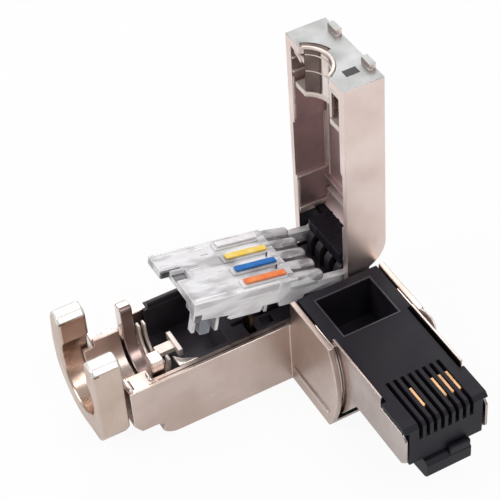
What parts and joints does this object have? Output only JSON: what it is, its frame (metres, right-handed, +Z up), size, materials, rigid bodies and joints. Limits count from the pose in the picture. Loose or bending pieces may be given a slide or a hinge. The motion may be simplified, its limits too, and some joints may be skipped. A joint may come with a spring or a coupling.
{
  "type": "network cable plug",
  "caption": "Angled metal-cased eight-way network plug for fitting on site, cover open over a clear wire guide, forked contacts, cable saddle and locking ring.",
  "frame": {"origin": "on the underside of the base, below the point where the centre line of the cable arm crosses the centre line of the plug end", "axes": "-X along the cable arm to the cable entry, -Y along the plug end to its contacts, +Z up, out of the open side of the base"},
  "size_m": [0.0416, 0.0407, 0.0453],
  "materials": {
    "nickel": "satin nickel plating on a die casting",
    "bright_nickel": "bright nickel plating on sheet metal",
    "black_plastic": "fine matt moulding",
    "gold": "gold plating",
    "board_green": "matt board lacquer",
    "clear_plastic": "clear moulding, polished",
    "orange_mark": "flat colour",
    "blue_mark": "flat colour",
    "yellow_mark": "flat colour",
    "white_mark": "flat colour"
  },
  "bodies": {
    "base": {"base_shell": "nickel", "cable_saddle": "bright_nickel", "shield_contact": "bright_nickel", "contact_board": "board_green", "contact_carrier": "black_plastic", "fork_contact_1": "gold", "fork_contact_2": "gold", "fork_contact_3": "gold", "fork_contact_4": "gold", "plug_body": "black_plastic", "contact_blade_1": "gold", "contact_blade_2": "gold", "contact_blade_3": "gold", "contact_blade_6": "gold", "plug_shield": "bright_nickel", "hinge_pin": "bright_nickel"},
    "cover": {"cover_shell": "nickel", "cover_clamp": "bright_nickel"},
    "guide": {"wire_guide": "clear_plastic", "wire_mark_orange": "orange_mark", "wire_mark_blue": "blue_mark", "wire_mark_yellow": "yellow_mark", "wire_mark_white": "white_mark"},
    "ring": {"lock_ring": "nickel"},
    "latch_lever": {"latch": "black_plastic"}
  },
  "joints": [
    {"name": "cover_hinge", "type": "hinge", "parent": "base", "child": "cover", "pos_m": [0.00345, 0, 0.0121], "axis": [0, -1, 0], "range_deg": [0, 90]},
    {"name": "guide_hinge", "type": "hinge", "parent": "base", "child": "guide", "pos_m": [0.00345, 0, 0.0121], "axis": [0, -1, 0], "range_deg": [0, 12]},
    {"name": "ring_turn", "type": "hinge", "parent": "base", "child": "ring", "pos_m": [-0.03405, 0, 0.0091], "axis": [-1, 0, 0], "range_deg": [0, 90]},
    {"name": "latch_flex", "type": "hinge", "parent": "base", "child": "latch_lever", "pos_m": [0, -0.0323, 0.0063], "axis": [1, 0, 0], "range_deg": [0, 8], "stiffness_Nm_per_rad": 0.3}
  ],
  "couplings": [
    {"joint": "guide_hinge", "follows": "cover_hinge", "ratio": 0.13333}
  ]
}
